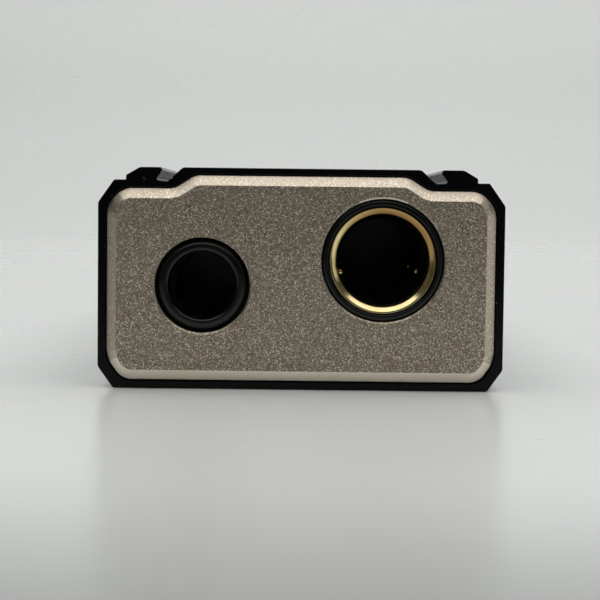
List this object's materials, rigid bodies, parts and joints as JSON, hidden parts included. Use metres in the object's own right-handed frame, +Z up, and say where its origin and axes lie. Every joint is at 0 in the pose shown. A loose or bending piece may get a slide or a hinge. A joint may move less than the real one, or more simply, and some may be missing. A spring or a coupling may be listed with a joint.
{
  "type": "headphone amplifier",
  "caption": "Pocket USB headphone amplifier in a flat extruded aluminium tube, with single-ended and balanced headphone jacks in one end and a USB port in the other.",
  "frame": {"origin": "middle of the flat bottom face of the tube", "axes": "+Z up through the railed top face, +X across to the side with the volume keys, -Y out of the headphone jacks, +Y out of the USB port"},
  "size_m": [0.023, 0.0622, 0.0122],
  "materials": {
    "black_aluminium": "black anodised, satin, bright only at grazing angles",
    "key_aluminium": "black anodised, satin",
    "bronze_aluminium": "fine bead-blasted, anodised grey bronze",
    "screw_steel": "black zinc",
    "gold_plate": "bright gold plating",
    "jack_plastic": "moulded black, satin",
    "port_steel": "nickel-plated, stamped",
    "port_plastic": "moulded black",
    "board_laminate": "solder-masked glass laminate",
    "amber_film": "thin amber film",
    "crystal_can": "drawn metal can",
    "ferrite": "moulded metal powder",
    "tantalum_resin": "moulded ochre resin",
    "chip_resin": "moulded black resin",
    "clear_plastic": "clear frosted plastic",
    "lamp_resin": "cast lamp resin",
    "switch_plastic": "moulded black"
  },
  "bodies": {
    "body": {"amplifier_chip_left": "chip_resin", "amplifier_chip_right": "chip_resin", "clock_crystal_left": "crystal_can", "clock_crystal_right": "crystal_can", "converter_chip_left": "chip_resin", "converter_chip_right": "chip_resin", "filter_capacitor_1": "tantalum_resin", "filter_capacitor_2": "tantalum_resin", "filter_capacitor_3": "tantalum_resin", "filter_capacitor_4": "tantalum_resin", "front_panel": "bronze_aluminium", "gain_switch_body": "switch_plastic", "housing": "black_aluminium", "insulating_film": "amber_film", "jack_3_5_body": "jack_plastic", "jack_3_5_contact_ring_1": "gold_plate", "jack_3_5_contact_ring_2": "gold_plate", "jack_3_5_contact_sleeve": "gold_plate", "jack_3_5_contact_tip": "gold_plate", "jack_4_4_body": "jack_plastic", "jack_4_4_contact_ring_1": "gold_plate", "jack_4_4_contact_ring_2": "gold_plate", "jack_4_4_contact_ring_3": "gold_plate", "jack_4_4_contact_sleeve": "gold_plate", "jack_4_4_contact_tip": "gold_plate", "jack_4_4_entry_ring": "gold_plate", "light_pipe": "clear_plastic", "main_board": "board_laminate", "power_inductor": "ferrite", "rear_panel": "bronze_aluminium", "rear_screw_left": "screw_steel", "rear_screw_right": "screw_steel", "shield_can": "port_steel", "status_lamp": "lamp_resin", "usb_bridge_chip": "chip_resin", "usb_port_shell": "port_steel", "usb_port_tongue": "port_plastic", "volume_down_switch": "switch_plastic", "volume_up_switch": "switch_plastic"},
    "volume_up": {"volume_up_key": "key_aluminium", "volume_up_plunger": "switch_plastic"},
    "volume_down": {"volume_down_key": "key_aluminium", "volume_down_plunger": "switch_plastic"},
    "gain_switch": {"gain_knob": "key_aluminium", "gain_lever": "switch_plastic"}
  },
  "joints": [
    {"name": "volume_up_press", "type": "slide", "parent": "body", "child": "volume_up", "axis": [-1, 0, 0], "range_m": [0, 0.0003], "stiffness_N_per_m": 3000},
    {"name": "volume_down_press", "type": "slide", "parent": "body", "child": "volume_down", "axis": [-1, 0, 0], "range_m": [0, 0.0003], "stiffness_N_per_m": 3000},
    {"name": "gain_switch_slide", "type": "slide", "parent": "body", "child": "gain_switch", "axis": [0, 1, 0], "range_m": [0, 0.002]}
  ]
}
